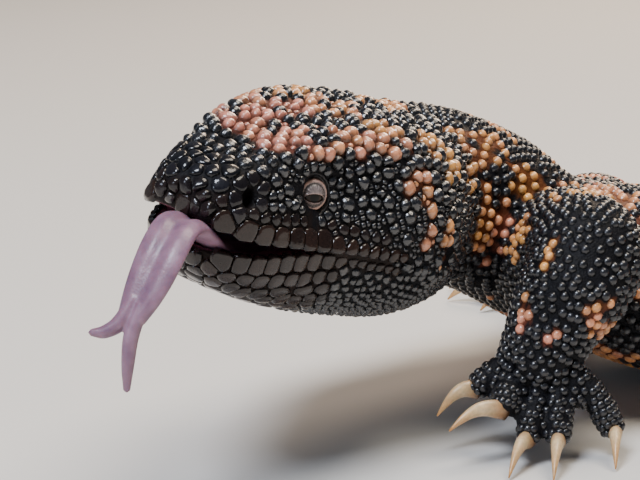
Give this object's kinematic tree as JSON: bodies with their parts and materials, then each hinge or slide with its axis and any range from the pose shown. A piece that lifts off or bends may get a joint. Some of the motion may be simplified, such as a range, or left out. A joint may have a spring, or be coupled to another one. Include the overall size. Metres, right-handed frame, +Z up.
{
  "type": "gila monster",
  "caption": "Stout beaded lizard, black with pink and orange marks, standing low on bent legs with its head turned, mouth open and forked tongue out.",
  "frame": {"origin": "middle of the animal's outline box, on the floor", "axes": "+X runs from the head's end to the tail's end, +Z is up, and -Y is the animal's left side"},
  "size_m": [0.3994, 0.1802, 0.0587],
  "materials": {
    "black_beaded_skin": "satin beaded",
    "brown_lip_plates": "glossy plates",
    "dark_eye": "polished",
    "lilac_tongue": "moist",
    "pale_horn": "smooth horn"
  },
  "bodies": {
    "root": {"tail_tip": "black_beaded_skin", "tail_middle": "black_beaded_skin", "tail_base": "black_beaded_skin", "torso_rear": "black_beaded_skin", "torso_front": "black_beaded_skin", "neck": "black_beaded_skin", "head": "black_beaded_skin", "foreleg_left_upper": "black_beaded_skin", "foreleg_left_lower": "black_beaded_skin", "foreleg_right_upper": "black_beaded_skin", "foreleg_right_lower": "black_beaded_skin", "hindleg_left_upper": "black_beaded_skin", "hindleg_left_lower": "black_beaded_skin", "hindleg_right_upper": "black_beaded_skin", "hindleg_right_lower": "black_beaded_skin", "forefoot_left": "black_beaded_skin", "forefoot_right": "black_beaded_skin", "hindfoot_left": "black_beaded_skin", "hindfoot_right": "black_beaded_skin", "lower_jaw": "brown_lip_plates", "eye_left": "dark_eye", "eye_right": "dark_eye", "tongue": "lilac_tongue", "claw_forefoot_left_1": "pale_horn", "claw_forefoot_left_2": "pale_horn", "claw_forefoot_left_3": "pale_horn", "claw_forefoot_left_4": "pale_horn", "claw_forefoot_left_5": "pale_horn", "claw_forefoot_right_1": "pale_horn", "claw_forefoot_right_2": "pale_horn", "claw_forefoot_right_3": "pale_horn", "claw_forefoot_right_4": "pale_horn", "claw_forefoot_right_5": "pale_horn", "claw_hindfoot_left_1": "pale_horn", "claw_hindfoot_left_2": "pale_horn", "claw_hindfoot_left_3": "pale_horn", "claw_hindfoot_left_4": "pale_horn", "claw_hindfoot_left_5": "pale_horn", "claw_hindfoot_right_1": "pale_horn", "claw_hindfoot_right_2": "pale_horn", "claw_hindfoot_right_3": "pale_horn", "claw_hindfoot_right_4": "pale_horn", "claw_hindfoot_right_5": "pale_horn"}
  },
  "joints": []
}
